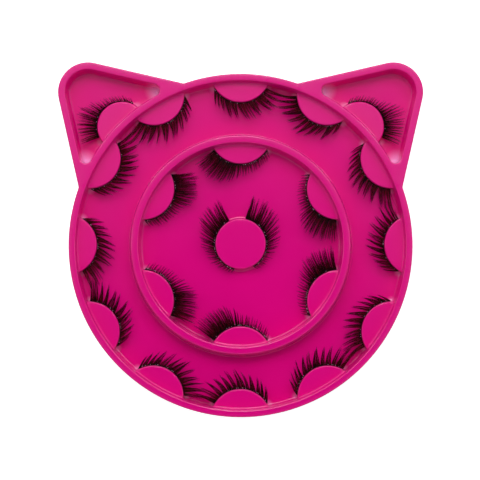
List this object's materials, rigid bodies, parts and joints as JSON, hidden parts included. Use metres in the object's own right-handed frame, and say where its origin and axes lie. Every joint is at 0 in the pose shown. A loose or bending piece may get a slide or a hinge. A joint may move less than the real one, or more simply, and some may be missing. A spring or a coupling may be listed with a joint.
{
  "type": "eyelash tray",
  "caption": "Shallow moulded cat-head tray whose ring channel, middle pocket and ear pockets hold low round bosses, each carrying curved false eyelash strips.",
  "frame": {"origin": "centre of the bounding box, on the plane that the tray stands on", "axes": "+Z out of the open pockets, +Y towards the ears, +X towards the right ear as seen from above"},
  "size_m": [0.1844, 0.1784, 0.009],
  "materials": {
    "tray": "glossy deep pink moulded plastic",
    "lash": "black synthetic fibre on a thin black band"
  },
  "bodies": {
    "tray": {"tray": "tray"},
    "outer_lash_1_oclock": {"outer_lash_1_oclock": "lash"},
    "outer_lash_2_oclock": {"outer_lash_2_oclock": "lash"},
    "outer_lash_3_oclock": {"outer_lash_3_oclock": "lash"},
    "outer_lash_4_oclock": {"outer_lash_4_oclock": "lash"},
    "outer_lash_5_oclock": {"outer_lash_5_oclock": "lash"},
    "outer_lash_6_oclock": {"outer_lash_6_oclock": "lash"},
    "outer_lash_7_oclock": {"outer_lash_7_oclock": "lash"},
    "outer_lash_8_oclock": {"outer_lash_8_oclock": "lash"},
    "outer_lash_9_oclock": {"outer_lash_9_oclock": "lash"},
    "outer_lash_10_oclock": {"outer_lash_10_oclock": "lash"},
    "outer_lash_11_oclock": {"outer_lash_11_oclock": "lash"},
    "outer_lash_12_oclock": {"outer_lash_12_oclock": "lash"},
    "inner_lash_2_oclock": {"inner_lash_2_oclock": "lash"},
    "inner_lash_4_oclock": {"inner_lash_4_oclock": "lash"},
    "inner_lash_6_oclock": {"inner_lash_6_oclock": "lash"},
    "inner_lash_8_oclock": {"inner_lash_8_oclock": "lash"},
    "inner_lash_10_oclock": {"inner_lash_10_oclock": "lash"},
    "inner_lash_12_oclock": {"inner_lash_12_oclock": "lash"},
    "ear_lash_left": {"ear_lash_left": "lash"},
    "ear_lash_right": {"ear_lash_right": "lash"},
    "middle_lash_left": {"middle_lash_left": "lash"},
    "middle_lash_right": {"middle_lash_right": "lash"}
  },
  "joints": [
    {"name": "outer_lash_1_oclock_lift", "type": "slide", "parent": "tray", "child": "outer_lash_1_oclock", "axis": [0, 0, 1], "range_m": [0, 0.02]},
    {"name": "outer_lash_2_oclock_lift", "type": "slide", "parent": "tray", "child": "outer_lash_2_oclock", "axis": [0, 0, 1], "range_m": [0, 0.02]},
    {"name": "outer_lash_3_oclock_lift", "type": "slide", "parent": "tray", "child": "outer_lash_3_oclock", "axis": [0, 0, 1], "range_m": [0, 0.02]},
    {"name": "outer_lash_4_oclock_lift", "type": "slide", "parent": "tray", "child": "outer_lash_4_oclock", "axis": [0, 0, 1], "range_m": [0, 0.02]},
    {"name": "outer_lash_5_oclock_lift", "type": "slide", "parent": "tray", "child": "outer_lash_5_oclock", "axis": [0, 0, 1], "range_m": [0, 0.02]},
    {"name": "outer_lash_6_oclock_lift", "type": "slide", "parent": "tray", "child": "outer_lash_6_oclock", "axis": [0, 0, 1], "range_m": [0, 0.02]},
    {"name": "outer_lash_7_oclock_lift", "type": "slide", "parent": "tray", "child": "outer_lash_7_oclock", "axis": [0, 0, 1], "range_m": [0, 0.02]},
    {"name": "outer_lash_8_oclock_lift", "type": "slide", "parent": "tray", "child": "outer_lash_8_oclock", "axis": [0, 0, 1], "range_m": [0, 0.02]},
    {"name": "outer_lash_9_oclock_lift", "type": "slide", "parent": "tray", "child": "outer_lash_9_oclock", "axis": [0, 0, 1], "range_m": [0, 0.02]},
    {"name": "outer_lash_10_oclock_lift", "type": "slide", "parent": "tray", "child": "outer_lash_10_oclock", "axis": [0, 0, 1], "range_m": [0, 0.02]},
    {"name": "outer_lash_11_oclock_lift", "type": "slide", "parent": "tray", "child": "outer_lash_11_oclock", "axis": [0, 0, 1], "range_m": [0, 0.02]},
    {"name": "outer_lash_12_oclock_lift", "type": "slide", "parent": "tray", "child": "outer_lash_12_oclock", "axis": [0, 0, 1], "range_m": [0, 0.02]},
    {"name": "inner_lash_2_oclock_lift", "type": "slide", "parent": "tray", "child": "inner_lash_2_oclock", "axis": [0, 0, 1], "range_m": [0, 0.02]},
    {"name": "inner_lash_4_oclock_lift", "type": "slide", "parent": "tray", "child": "inner_lash_4_oclock", "axis": [0, 0, 1], "range_m": [0, 0.02]},
    {"name": "inner_lash_6_oclock_lift", "type": "slide", "parent": "tray", "child": "inner_lash_6_oclock", "axis": [0, 0, 1], "range_m": [0, 0.02]},
    {"name": "inner_lash_8_oclock_lift", "type": "slide", "parent": "tray", "child": "inner_lash_8_oclock", "axis": [0, 0, 1], "range_m": [0, 0.02]},
    {"name": "inner_lash_10_oclock_lift", "type": "slide", "parent": "tray", "child": "inner_lash_10_oclock", "axis": [0, 0, 1], "range_m": [0, 0.02]},
    {"name": "inner_lash_12_oclock_lift", "type": "slide", "parent": "tray", "child": "inner_lash_12_oclock", "axis": [0, 0, 1], "range_m": [0, 0.02]},
    {"name": "ear_lash_left_lift", "type": "slide", "parent": "tray", "child": "ear_lash_left", "axis": [0, 0, 1], "range_m": [0, 0.02]},
    {"name": "ear_lash_right_lift", "type": "slide", "parent": "tray", "child": "ear_lash_right", "axis": [0, 0, 1], "range_m": [0, 0.02]},
    {"name": "middle_lash_left_lift", "type": "slide", "parent": "tray", "child": "middle_lash_left", "axis": [0, 0, 1], "range_m": [0, 0.02]},
    {"name": "middle_lash_right_lift", "type": "slide", "parent": "tray", "child": "middle_lash_right", "axis": [0, 0, 1], "range_m": [0, 0.02]}
  ]
}
